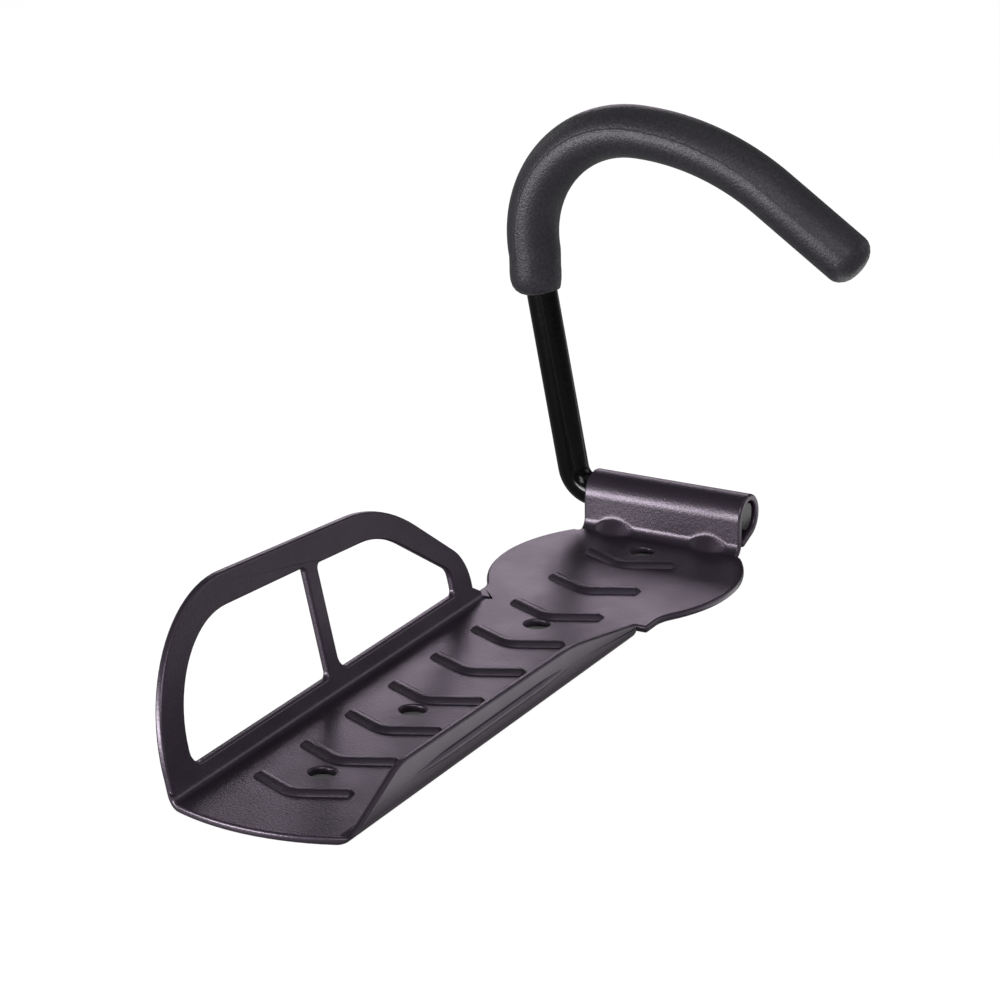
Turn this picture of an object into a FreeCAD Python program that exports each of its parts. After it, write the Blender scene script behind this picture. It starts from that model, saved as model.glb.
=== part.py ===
"""Wall hook that holds a bicycle by its wheel: a folded steel back plate with a tall tyre rest,
a bent steel rod held in the rolled knuckle of the plate, and a soft sleeve over the rod.

Millimetres. The back of the plate is Z = 0 and faces the wall, +Z points away from the wall,
+Y runs along the plate to the knuckle that carries the rod, and X = 0 is the line of screw holes.
"""
import FreeCAD, Part
import math
import os

import Sketcher

V = FreeCAD.Vector

SIZES = [
    # sheet and the folded channel
    ("sheet_thickness", 2.2),
    ("fold_radius", 2.0),
    ("wing_side", 25.8),
    ("flange_side", 29.2),
    ("wing_flare", 13),
    ("front_reach", 127.6),
    ("front_bow_radius", 64.6),
    ("channel_rear", 46.5),
    # tall wing with two windows
    ("wing_front_height", 53.8),
    ("wing_knee_y", 5),
    ("wing_knee_height", 43.5),
    ("wing_heel_y", 42.5),
    ("wing_heel_height", 15.3),
    ("wing_foot_height", 6.5),
    ("wing_nose_radius", 41),
    ("wing_knee_radius", 64),
    ("wing_heel_radius", 14),
    ("window_sill", 7.6),
    ("front_window_start", -110.4),
    ("front_window_nose_height", 43.5),
    ("front_window_end", -39.8),
    ("front_window_end_height", 38.9),
    ("front_window_nose_radius", 29),
    ("window_post", 6.3),
    ("rear_window_height", 38),
    ("rear_window_knee_y", 0.7),
    ("rear_window_knee_height", 35.6),
    ("rear_window_end", 32.2),
    ("rear_window_heel_height", 14.7),
    ("rear_window_knee_radius", 40),
    ("window_corner_radius", 4.5),
    ("window_tight_radius", 1.5),
    # low flange on the other side
    ("flange_shoulder_y", -95.5),
    ("flange_height", 13.9),
    ("flange_knee_y", 2),
    ("flange_knee_height", 12.4),
    ("flange_rear", 42),
    ("flange_rear_height", 5),
    ("flange_shoulder_radius", 18),
    ("flange_knee_radius", 80),
    ("flange_rear_radius", 4),
    ("flange_bead_front", -105),
    ("flange_bead_rear", 16),
    ("flange_bead_height", 7.2),
    ("flange_bead_rise", 0.9),
    ("flange_bead_radius", 1.55),
    ("flange_bead_taper", 34),
    # round head that carries the knuckle
    ("head_half_width", 37.6),
    ("head_side_radius", 45),
    ("head_centre_y", 84),
    ("neck_half_width", 28.8),
    ("neck_blend_radius", 11),
    ("relief_gap", 0.9),
    ("head_x", 0.5),
    # pressed ribs and screw holes
    ("rib_count", 9),
    ("rib_pitch", 23.95),
    ("first_rib_y", -101.8),
    ("rib_half_span", 13.4),
    ("rib_slant", 25),
    ("rib_apex_radius", 6),
    ("rib_radius", 3.3),
    ("rib_rise", 1.3),
    ("rib_run_out", 5),
    ("hole_diameter", 7.2),
    ("front_hole_y", -87),
    ("front_hole_spacing", 49),
    ("rear_hole_y", 35),
    ("rear_hole_spacing", 68),
    # knuckle rolled round the rod, with its tail close behind its own wall and two gussets in its fold
    ("knuckle_half_width", 26.4),
    ("knuckle_y", 121.4),
    ("knuckle_height", 11.6),
    ("knuckle_fold_radius", 3),
    ("knuckle_wrap", 250),
    ("knuckle_tail_gap", 0.3),
    ("tongue_start", 104),
    ("gusset_x", 15.9),
    ("gusset_radius", 7),
    ("gusset_rise", 2.3),
    # rod
    ("rod_diameter", 9.5),
    ("rod_clearance", 0.1),
    ("rod_inset", 1),
    ("rod_edge", 0.6),
    ("rod_bend_radius", 8),
    ("leg_lean", 11),
    ("shoulder_radius", 35.3),
    ("shoulder_x", -11.5),
    ("shoulder_height", 92),
    ("crown_radius", 80),
    ("tip_slope", 34),
    ("tip_run", 34.5),
    # sleeve
    ("sleeve_diameter", 16),
    ("sleeve_clearance", 0.1),
    ("sleeve_leg", 13.6),
    ("sleeve_cap", 4),
    ("sleeve_tip_setback", 4),
    ("sleeve_tip_flat", 5),
    ("sleeve_taper", 4.6),
    ("sleeve_lip", 0.9),
]

doc = FreeCAD.newDocument("wheel_hook")
sheet = doc.addObject("Spreadsheet::Sheet", "Sheet")
for row, (alias, number) in enumerate(SIZES, start=1):
    sheet.set("A%d" % row, alias)
    sheet.set("B%d" % row, str(number))
    sheet.setAlias("B%d" % row, alias)
doc.recompute()

ALIASES = sorted((alias for alias, _ in SIZES), key=len, reverse=True)


def bound(text):
    """Turn an expression in plain size names into one that reads the sheet."""
    out = []
    word = ""
    for letter in text + " ":
        if letter.isalnum() or letter == "_":
            word += letter
        else:
            out.append("Sheet." + word if word in ALIASES else word)
            out.append(letter)
            word = ""
    return "".join(out).strip()


def value(text):
    """Number that an expression in size names has now."""
    return float(sheet.evalExpression(bound(text)))


def plane_of(body, role):
    return next(f for f in body.Origin.OriginFeatures if f.Role == role)


def new_sketch(body, name, role, offset=None):
    """Sketch on one of the body's own planes, moved along the plane's normal by an expression."""
    sketch = body.newObject("Sketcher::SketchObject", name)
    sketch.AttachmentSupport = (plane_of(body, role), [""])
    sketch.MapMode = "FlatFace"
    if offset:
        sketch.setExpression("AttachmentOffset.Base.z", bound(offset))
    return sketch


def fix(sketch, kind, *where, size):
    """Add a driving dimension and bind it to the sheet. A place of 0 is put on the sketch's axis."""
    if size == "0":
        axis = {"DistanceX": -2, "DistanceY": -1}[kind]
        sketch.addConstraint(Sketcher.Constraint("PointOnObject", *where[2:], axis))
        return
    index = sketch.addConstraint(Sketcher.Constraint(kind, *where, value(size)))
    sketch.setExpression("Constraints[%d]" % index, bound(size))


def joined(sketch, *pairs):
    """Tangent joints between ends of neighbouring path pieces."""
    for first, first_end, second, second_end in pairs:
        sketch.addConstraint(Sketcher.Constraint("Tangent", first, first_end, second, second_end))


def arc_at(centre, radius, start, end):
    """Counter-clockwise arc of a circle from the direction of start to that of end."""
    circle = Part.Circle(centre, V(0, 0, 1), radius)
    begin = math.atan2(start.y - centre.y, start.x - centre.x)
    finish = math.atan2(end.y - centre.y, end.x - centre.x)
    return Part.ArcOfCircle(circle, begin, finish)


def side_between(start, end, radius):
    """Side of an outline: straight, or an arc that bulges outwards (inwards for a negative radius).

    Returns the geometry and the numbers of its ends in drawing order.
    """
    if radius is None:
        return Part.LineSegment(start, end), (1, 2)
    chord = end - start
    left = V(-chord.y, chord.x, 0).normalize()
    depth = math.copysign(math.sqrt(max(radius ** 2 - (chord.Length / 2) ** 2, 0)), radius)
    centre = (start + end) / 2 + left * depth
    if radius < 0:
        return arc_at(centre, -radius, end, start), (2, 1)
    return arc_at(centre, radius, start, end), (1, 2)


def outline(sketch, corners, arcs=None, rounds=None):
    """Closed counter-clockwise outline through corners given as pairs of expressions.

    arcs maps the number of a side to the expression of its radius, with a leading minus where the side
    bulges inwards. rounds maps the number of a corner between straight sides to its radius.
    """
    arcs, rounds = arcs or {}, rounds or {}
    spots = [V(value(u), value(w), 0) for u, w in corners]
    count = len(spots)
    arrive, leave = list(spots), list(spots)
    for i, radius in rounds.items():
        back = (spots[i - 1] - spots[i]).normalize()
        ahead = (spots[(i + 1) % count] - spots[i]).normalize()
        setback = value(radius) / math.tan(back.getAngle(ahead) / 2)
        arrive[i], leave[i] = spots[i] + back * setback, spots[i] + ahead * setback
    ends = []
    for i in range(count):
        radius = value(arcs[i]) if i in arcs else None
        side, pair = side_between(leave[i], arrive[(i + 1) % count], radius)
        sketch.addGeometry(side, False)
        ends.append(pair)
    for i, (u, w) in enumerate(corners):
        before = (i - 1) % count
        if i not in rounds:
            sketch.addConstraint(Sketcher.Constraint("Coincident", before, ends[before][1], i, ends[i][0]))
            fix(sketch, "DistanceX", -1, 1, i, ends[i][0], size=u)
            fix(sketch, "DistanceY", -1, 1, i, ends[i][0], size=w)
            continue
        corner = sketch.addGeometry(Part.Point(spots[i]), True)
        fix(sketch, "DistanceX", -1, 1, corner, 1, size=u)
        fix(sketch, "DistanceY", -1, 1, corner, 1, size=w)
        sketch.addConstraint(Sketcher.Constraint("PointOnObject", corner, 1, before))
        sketch.addConstraint(Sketcher.Constraint("PointOnObject", corner, 1, i))
        add_round(sketch, before, i, arrive[i], spots[i], leave[i], rounds[i])
    for i, radius in arcs.items():
        fix(sketch, "Radius", i, size=radius.lstrip("-"))
    return sketch


def add_round(sketch, before, after, arrive, corner, leave, radius):
    """Arc tangent to the ends of two straight sides."""
    size = value(radius)
    inward = (arrive - corner).normalize() + (leave - corner).normalize()
    reach = math.hypot(size, (arrive - corner).Length)
    centre = corner + inward.normalize() * reach
    left_turn = (corner - arrive).cross(leave - corner).z > 0
    pair = (arrive, leave) if left_turn else (leave, arrive)
    bend = sketch.addGeometry(arc_at(centre, size, *pair), False)
    first, last = (1, 2) if left_turn else (2, 1)
    joined(sketch, (before, 2, bend, first), (bend, last, after, 1))
    fix(sketch, "Radius", bend, size=radius)


def disc(sketch, u, w, diameter):
    """Circle of a bound diameter round a bound centre."""
    index = sketch.addGeometry(Part.Circle(V(value(u), value(w), 0), V(0, 0, 1), value(diameter) / 2), False)
    fix(sketch, "Diameter", index, size=diameter)
    fix(sketch, "DistanceX", -1, 1, index, 3, size=u)
    fix(sketch, "DistanceY", -1, 1, index, 3, size=w)
    return sketch


def bind(feature, **sizes):
    """Bind properties of a feature to expressions, with a dot written as a double underscore."""
    for name, size in sizes.items():
        feature.setExpression(name.replace("__", "."), bound(size))
    return feature


def extruded(body, name, kind, sketch, length, symmetric=False, reverse=False):
    feature = body.newObject("PartDesign::" + kind, name)
    feature.Profile = sketch
    feature.SideType = "Symmetric" if symmetric else "One side"
    feature.Reversed = reverse
    return bind(feature, Length=length)


def swept(body, name, kind, profile, spine):
    feature = body.newObject("PartDesign::" + kind, name)
    feature.Profile = profile
    feature.Spine = spine
    return feature


def turned(body, name, kind, sketch):
    """Turn a sketch once round its own construction line."""
    feature = body.newObject("PartDesign::" + kind, name)
    feature.Profile = sketch
    feature.ReferenceAxis = (sketch, ["Axis0"])
    feature.Angle = 360
    return feature


def rounded(body, name, radius, wanted):
    """Round the edges of the body's tip for which wanted(edge) is true."""
    doc.recompute()
    base = body.Tip
    edges = ["Edge%d" % (i + 1) for i, edge in enumerate(base.Shape.Edges) if wanted(edge)]
    if not edges:
        raise RuntimeError("no edge found for " + name)
    feature = body.newObject("PartDesign::Fillet", name)
    feature.Base = (base, edges)
    return bind(feature, Radius=radius)


def along(axis, *spots):
    """Test for straight edges that run along an axis through one of the spots of the other two axes."""
    others = [k for k in range(3) if k != axis]

    def wanted(edge):
        if edge.Curve.TypeId != "Part::GeomLine":
            return False
        first, last = edge.Vertexes[0].Point, edge.Vertexes[-1].Point
        if any(abs(first[k] - last[k]) > 1e-4 for k in others):
            return False
        return any(all(abs(first[k] - spot[j]) < 1e-3 for j, k in enumerate(others)) for spot in spots)
    return wanted


def spot(*sizes):
    return tuple(value(size) for size in sizes)


# Formulas that several features share
WING_FRONT = "-(front_reach - front_bow_radius + sqrt(front_bow_radius^2 - wing_side^2))"
FLANGE_FRONT = "-(front_reach - front_bow_radius + sqrt(front_bow_radius^2 - flange_side^2))"
WING_REACH = "(wing_front_height + sheet_thickness)"
WING_INNER = "-wing_side + sheet_thickness * (1 - sin(wing_flare * 1deg)) / cos(wing_flare * 1deg)"
WALL_REACH = "(knuckle_y - rod_diameter / 2 - rod_clearance - sheet_thickness / 2)"
RIB_AXIS = "sheet_thickness + rib_rise - rib_radius"
ROLL_RADIUS = "(rod_diameter / 2 + rod_clearance + sheet_thickness / 2)"
FOLD_MIDDLE = "(knuckle_fold_radius + sheet_thickness / 2)"
ROD_FOOT = "(head_x + knuckle_half_width - rod_inset)"
KNUCKLE_TAIL = ("((%s + sheet_thickness / 2 + knuckle_tail_gap - knuckle_y"
                " + (%s - sheet_thickness / 2) * cos(knuckle_wrap * 1deg)) / sin(knuckle_wrap * 1deg))"
                % (WALL_REACH, ROLL_RADIUS))
TAIL_Y = ("knuckle_y - %s * cos(knuckle_wrap * 1deg) + %s * sin(knuckle_wrap * 1deg)"
          % (ROLL_RADIUS, KNUCKLE_TAIL))
TAIL_Z = ("knuckle_height + %s * sin(knuckle_wrap * 1deg) + %s * cos(knuckle_wrap * 1deg)"
          % (ROLL_RADIUS, KNUCKLE_TAIL))
ROD_RUN = "tip_run - sleeve_cap - sleeve_clearance"
LEG_TOP_X = "(shoulder_x - shoulder_radius * cos(leg_lean * 1deg))"
LEG_TOP_Z = "(shoulder_height - shoulder_radius * sin(leg_lean * 1deg))"
LEG_START_X = LEG_TOP_X + " + sleeve_leg * sin(leg_lean * 1deg)"
LEG_START_Z = LEG_TOP_Z + " - sleeve_leg * cos(leg_lean * 1deg)"
GUSSET_Y = WALL_REACH + " - sheet_thickness / 2 + (gusset_radius - gusset_rise + (%s)) / sqrt(2)"
GUSSET_Z = "sheet_thickness - (gusset_radius - gusset_rise - (%s)) / sqrt(2)"
BEND_X = ("%s + (%s - knuckle_height) * tan(leg_lean * 1deg)"
          " + rod_bend_radius * tan((90 - leg_lean) / 2 * 1deg)" % (LEG_TOP_X, LEG_TOP_Z))


def channel(body):
    """Floor, leaning wing wall and upright flange wall as one folded section."""
    sketch = new_sketch(body, "channel_section", "XZ_Plane", "-channel_rear")
    outline(sketch, [
        ("-wing_side", "0"),
        ("flange_side", "0"),
        ("flange_side", "flange_height + sheet_thickness"),
        ("flange_side - sheet_thickness", "flange_height + sheet_thickness"),
        ("flange_side - sheet_thickness", "sheet_thickness"),
        (WING_INNER, "sheet_thickness"),
        (WING_INNER + " - (" + WING_REACH + " - sheet_thickness) * tan(wing_flare * 1deg)", WING_REACH),
        ("-wing_side - " + WING_REACH + " * tan(wing_flare * 1deg)", WING_REACH),
    ])
    extruded(body, "channel_pad", "Pad", sketch, "front_reach + channel_rear")
    rounded(body, "inner_folds", "fold_radius",
            along(1, spot(WING_INNER, "sheet_thickness"),
                  spot("flange_side - sheet_thickness", "sheet_thickness")))
    rounded(body, "outer_folds", "fold_radius + sheet_thickness",
            along(1, spot("-wing_side", "0"), spot("flange_side", "0")))


def front_edge(body):
    """Bowed front edge, cut square through the floor and straight up through both walls."""
    sketch = new_sketch(body, "front_edge", "XY_Plane")
    outline(sketch, [
        ("-2 * wing_side - wing_front_height", "-2 * front_reach"),
        ("2 * flange_side", "-2 * front_reach"),
        ("2 * flange_side", FLANGE_FRONT),
        ("flange_side", FLANGE_FRONT),
        ("-wing_side", WING_FRONT),
        ("-2 * wing_side - wing_front_height", WING_FRONT),
    ], {3: "-front_bow_radius"})
    extruded(body, "front_cut", "Pocket", sketch, "3 * wing_front_height", reverse=True)


def wing_edge(body):
    """Outline of the tall wing."""
    sketch = new_sketch(body, "wing_edge", "YZ_Plane")
    top = "2 * wing_front_height"
    low = "sheet_thickness + fold_radius"
    outline(sketch, [
        ("-2 * front_reach", low),
        (WING_FRONT, low),
        (WING_FRONT, "wing_front_height"),
        ("wing_knee_y", "wing_knee_height"),
        ("wing_heel_y", "wing_heel_height"),
        ("wing_heel_y", "wing_foot_height"),
        ("channel_rear", low),
        ("channel_rear + front_reach", low),
        ("channel_rear + front_reach", top),
        ("-2 * front_reach", top),
    ], rounds={2: "wing_nose_radius", 3: "wing_knee_radius", 4: "wing_heel_radius"})
    extruded(body, "wing_cut", "Pocket", sketch, "3 * wing_front_height")


def windows(body):
    """Two windows in the wing with a post between them."""
    start = "front_window_end + window_post"
    sketch = new_sketch(body, "front_window", "YZ_Plane")
    outline(sketch, [
        ("front_window_start", "window_sill"),
        ("front_window_end", "window_sill"),
        ("front_window_end", "front_window_end_height"),
        ("front_window_start", "front_window_nose_height"),
    ], rounds={0: "window_corner_radius", 1: "window_tight_radius", 2: "window_tight_radius",
               3: "front_window_nose_radius"})
    extruded(body, "front_window_cut", "Pocket", sketch, "3 * wing_front_height")
    sketch = new_sketch(body, "rear_window", "YZ_Plane")
    outline(sketch, [
        (start, "window_sill"),
        ("rear_window_end", "window_sill"),
        ("rear_window_end", "rear_window_heel_height"),
        ("rear_window_knee_y", "rear_window_knee_height"),
        (start, "rear_window_height"),
    ], rounds={0: "window_corner_radius", 1: "window_tight_radius", 2: "window_corner_radius",
               3: "rear_window_knee_radius", 4: "window_tight_radius"})
    extruded(body, "rear_window_cut", "Pocket", sketch, "3 * wing_front_height")


def flange_edge(body):
    """Outline of the low flange, which rises from the front corner and runs out at the rear."""
    sketch = new_sketch(body, "flange_edge", "YZ_Plane", "flange_side - sheet_thickness - fold_radius")
    top = "3 * flange_height"
    outline(sketch, [
        ("-2 * front_reach", "sheet_thickness"),
        (FLANGE_FRONT, "sheet_thickness"),
        ("flange_shoulder_y", "flange_height"),
        ("flange_knee_y", "flange_knee_height"),
        ("flange_rear", "flange_rear_height"),
        ("flange_rear", "0"),
        ("channel_rear + front_reach", "0"),
        ("channel_rear + front_reach", top),
        ("-2 * front_reach", top),
    ], rounds={2: "flange_shoulder_radius", 3: "flange_knee_radius", 4: "flange_rear_radius"})
    extruded(body, "flange_cut", "Pocket", sketch, "flange_side", reverse=True)


def flange_bead(body):
    """Long stiffening bead pressed outwards through the flange, with tapered ends."""
    dent = "flange_side + flange_bead_rise - flange_bead_radius - sheet_thickness"
    for name, kind, centre in (("bead", "Revolution", dent + " + sheet_thickness"),
                               ("bead_hollow", "Groove", dent)):
        sketch = new_sketch(body, name + "_half", "XY_Plane", "flange_bead_height")
        crest = "%s + flange_bead_radius" % centre
        outline(sketch, [
            (centre, "flange_bead_front"),
            (crest, "flange_bead_front + flange_bead_taper"),
            (crest, "flange_bead_rear - flange_bead_taper"),
            (centre, "flange_bead_rear"),
        ])
        axis = sketch.addGeometry(Part.LineSegment(sketch.getPoint(3, 1), sketch.getPoint(3, 2)), True)
        sketch.addConstraint(Sketcher.Constraint("Coincident", axis, 1, 3, 1))
        sketch.addConstraint(Sketcher.Constraint("Coincident", axis, 2, 3, 2))
        turned(body, name, kind, sketch)


def head(body):
    """Round-sided flat head behind the channel, with relief slots beside the folded walls."""
    sketch = new_sketch(body, "head_outline", "XY_Plane")
    inner = "flange_side - sheet_thickness - fold_radius"
    left = WING_INNER + " + fold_radius"
    start = "channel_rear + relief_gap"
    neck_y = ("(head_centre_y - sqrt(head_side_radius^2"
              " - (neck_half_width - head_half_width + head_side_radius)^2))")
    rear_y = "(" + WALL_REACH + " - " + FOLD_MIDDLE + ")"
    rear = "(head_half_width - head_side_radius + sqrt(head_side_radius^2 - (%s - head_centre_y)^2))" % rear_y
    outline(sketch, [
        (left, "channel_rear - relief_gap"),
        (inner, "channel_rear - relief_gap"),
        (inner, start),
        ("head_x + neck_half_width", start),
        ("head_x + neck_half_width", neck_y),
        ("head_x + " + rear, rear_y),
        ("head_x - " + rear, rear_y),
        ("head_x - neck_half_width", neck_y),
        ("head_x - neck_half_width", start),
        (left, start),
    ], {4: "head_side_radius", 6: "head_side_radius"})
    extruded(body, "head_pad", "Pad", sketch, "sheet_thickness")
    rounded(body, "neck_blends", "neck_blend_radius",
            along(2, spot("head_x + neck_half_width", neck_y), spot("head_x - neck_half_width", neck_y)))


def screw_holes(body):
    """Four screw holes on the centre line."""
    sketch = new_sketch(body, "screw_holes", "XY_Plane")
    for place in ("front_hole_y", "front_hole_y + front_hole_spacing",
                  "rear_hole_y", "rear_hole_y + rear_hole_spacing"):
        disc(sketch, "0", place, "hole_diameter")
    extruded(body, "screw_hole_cut", "Pocket", sketch, "2 * sheet_thickness", reverse=True)


def arch(radius, foot_height):
    """Section of a rib across its run, as a wire in the plane of X and Z that stands on foot_height."""
    axis_height = value(RIB_AXIS)
    spring = max(foot_height, axis_height)
    reach = math.sqrt(radius ** 2 - (spring - axis_height) ** 2)
    foot, shoulder = V(reach, 0, foot_height), V(reach, 0, spring)
    over = Part.Arc(shoulder, V(0, 0, axis_height + radius), flipped(shoulder)).toShape()
    floor = Part.LineSegment(flipped(foot), foot).toShape()
    if shoulder.z - foot.z < 1e-6:
        return Part.Wire([floor, over])
    right = Part.LineSegment(foot, shoulder).toShape()
    left = Part.LineSegment(flipped(shoulder), flipped(foot)).toShape()
    return Part.Wire([floor, right, over, left])


def flipped(place):
    return V(-place.x, place.y, place.z)


def rib_places():
    """Apex, start and end of the right arm of the first rib's centre line."""
    slant, bend, span = math.radians(value("rib_slant")), value("rib_apex_radius"), value("rib_half_span")
    apex = V(0, value("first_rib_y"), 0)
    turn = apex + V(math.sin(slant), 1 - math.cos(slant), 0) * bend
    return apex, turn, V(span, turn.y + (span - turn.x) * math.tan(slant), 0)


def rib_bar(run, section, start):
    """Section run along a V, whose left arm begins at start."""
    section.rotate(V(0, 0, 0), V(0, 0, 1), 90 - value("rib_slant"))
    section.translate(start)
    mitred = 1
    return run.makePipeShell([section], True, False, mitred)


def rib_top():
    """First rib: an arch run along a V with a rounded apex, whose ends run out as half cones."""
    apex, turn, tip = rib_places()
    radius, foot_height = value("rib_radius"), value("sheet_thickness / 2")
    run = Part.Wire([Part.LineSegment(flipped(tip), flipped(turn)).toShape(),
                     Part.Arc(flipped(turn), apex, turn).toShape(),
                     Part.LineSegment(turn, tip).toShape()])
    bar = rib_bar(run, arch(radius, foot_height), flipped(tip))
    onward = (tip - turn).normalize()
    cone = Part.makeCone(radius, 0, value("rib_run_out"), tip + V(0, 0, value(RIB_AXIS)), onward)
    side = 4 * radius
    below = Part.makeBox(side, side, side, tip + V(-side / 2, -side / 2, foot_height - side))
    right_end = cone.cut(below)
    return bar.fuse([right_end, right_end.mirror(V(0, 0, 0), V(1, 0, 0))])


def rib_hollow():
    """Groove behind the first rib, one sheet thickness smaller, with a sharp apex and square ends."""
    apex, turn, tip = rib_places()
    corner = V(0, tip.y - tip.x * math.tan(math.radians(value("rib_slant"))), 0)
    run = Part.Wire([Part.LineSegment(flipped(tip), corner).toShape(),
                     Part.LineSegment(corner, tip).toShape()])
    section = arch(value("rib_radius - sheet_thickness"), value("-sheet_thickness / 2"))
    return rib_bar(run, section, flipped(tip))


def rib_row(label, first):
    """All ribs, one pitch apart."""
    places = [k * value("rib_pitch") for k in range(int(value("rib_count")))]
    row = doc.addObject("Part::Feature", label)
    row.Shape = Part.makeCompound([first.translated(V(0, place, 0)) for place in places])
    return row


def gusset_bar(body, name, side):
    """Round bar leaning at 45 degrees across the knuckle's fold."""
    bar = body.newObject("PartDesign::AdditiveCylinder", name)
    bar.AttachmentSupport = (plane_of(body, "XY_Plane"), [""])
    bar.MapMode = "FlatFace"
    bar.AttachmentOffset = FreeCAD.Placement(V(0, 0, 0), FreeCAD.Rotation(V(1, 0, 0), -45))
    start = "-1.2 * gusset_radius"
    return bind(
        bar, Radius="gusset_radius", Height="2.4 * gusset_radius",
        AttachmentOffset__Base__x="head_x %s gusset_x" % side,
        AttachmentOffset__Base__y=GUSSET_Y % start, AttachmentOffset__Base__z=GUSSET_Z % start)


def gussets(body):
    """Two rounded gussets in the knuckle's fold, cut off inside the floor and the front wall."""
    for name, side in (("left_gusset", "-"), ("right_gusset", "+")):
        gusset_bar(body, name, side)
    right = "gusset_x + 2 * gusset_radius"
    left = "-(%s)" % right
    near_y, far_y = "tongue_start - gusset_radius", "knuckle_y + 2 * gusset_radius"
    sketch = new_sketch(body, "gusset_floor", "XY_Plane", "sheet_thickness / 2")
    outline(sketch, [(left, near_y), (right, near_y), (right, far_y), (left, far_y)])
    extruded(body, "gusset_floor_cut", "Pocket", sketch, "4 * gusset_radius")
    sketch = new_sketch(body, "gusset_wall", "XZ_Plane", "-" + WALL_REACH)
    low, high = "-4 * gusset_radius", "4 * gusset_radius"
    outline(sketch, [(left, low), (right, low), (right, high), (left, high)])
    extruded(body, "gusset_wall_cut", "Pocket", sketch, "4 * gusset_radius")


def gusset_hollow(label, side):
    """Bar that dents the back of a gusset and stops short of the rolled tail."""
    bar = doc.addObject("Part::Cylinder", label)
    bar.Placement = FreeCAD.Placement(V(0, 0, 0), FreeCAD.Rotation(V(1, 0, 0), -45))
    start = "-1.2 * gusset_radius"
    return bind(
        bar, Radius="gusset_radius - sheet_thickness", Height="1.2 * gusset_radius + 1.1 * sheet_thickness",
        Placement__Base__x="head_x %s gusset_x" % side,
        Placement__Base__y=GUSSET_Y % start, Placement__Base__z=GUSSET_Z % start)


def knuckle(body):
    """Tongue folded up from the floor and rolled round the rod, back to the foot of its own wall."""
    path = new_sketch(body, "knuckle_path", "YZ_Plane")
    wall, fold, roll = value(WALL_REACH), value(FOLD_MIDDLE), value(ROLL_RADIUS)
    mid = value("sheet_thickness / 2")
    centre = V(value("knuckle_y"), value("knuckle_height"), 0)
    fold_centre = V(wall - fold, mid + fold, 0)
    fold_start, fold_end = V(wall - fold, mid, 0), V(wall, mid + fold, 0)
    roll_start = V(wall, centre.y, 0)
    end = V(value(TAIL_Y), value(TAIL_Z), 0)
    leaving = math.radians(180 - value("knuckle_wrap"))
    roll_end = centre + V(math.cos(leaving), math.sin(leaving), 0) * roll
    path.addGeometry(Part.LineSegment(V(value("tongue_start"), mid, 0), fold_start), False)
    path.addGeometry(arc_at(fold_centre, fold, fold_start, fold_end), False)
    path.addGeometry(Part.LineSegment(fold_end, roll_start), False)
    path.addGeometry(arc_at(centre, roll, roll_end, roll_start), False)
    path.addGeometry(Part.LineSegment(roll_end, end), False)
    joined(path, (0, 2, 1, 1), (1, 2, 2, 1), (2, 2, 3, 2), (3, 1, 4, 1))
    path.addConstraint(Sketcher.Constraint("Horizontal", 0))
    path.addConstraint(Sketcher.Constraint("Vertical", 2))
    fix(path, "DistanceX", -1, 1, 0, 1, size="tongue_start")
    fix(path, "DistanceY", -1, 1, 0, 1, size="sheet_thickness / 2")
    fix(path, "Radius", 1, size=FOLD_MIDDLE)
    fix(path, "DistanceX", -1, 1, 3, 3, size="knuckle_y")
    fix(path, "DistanceY", -1, 1, 3, 3, size="knuckle_height")
    fix(path, "Radius", 3, size=ROLL_RADIUS)
    fix(path, "DistanceX", -1, 1, 4, 2, size=TAIL_Y)
    fix(path, "DistanceY", -1, 1, 4, 2, size=TAIL_Z)
    section = new_sketch(body, "tongue_section", "XZ_Plane", "-tongue_start")
    left, right = "head_x - knuckle_half_width", "head_x + knuckle_half_width"
    outline(section, [(left, "0"), (right, "0"), (right, "sheet_thickness"), (left, "sheet_thickness")])
    swept(body, "knuckle_roll", "AdditivePipe", section, path)


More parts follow.
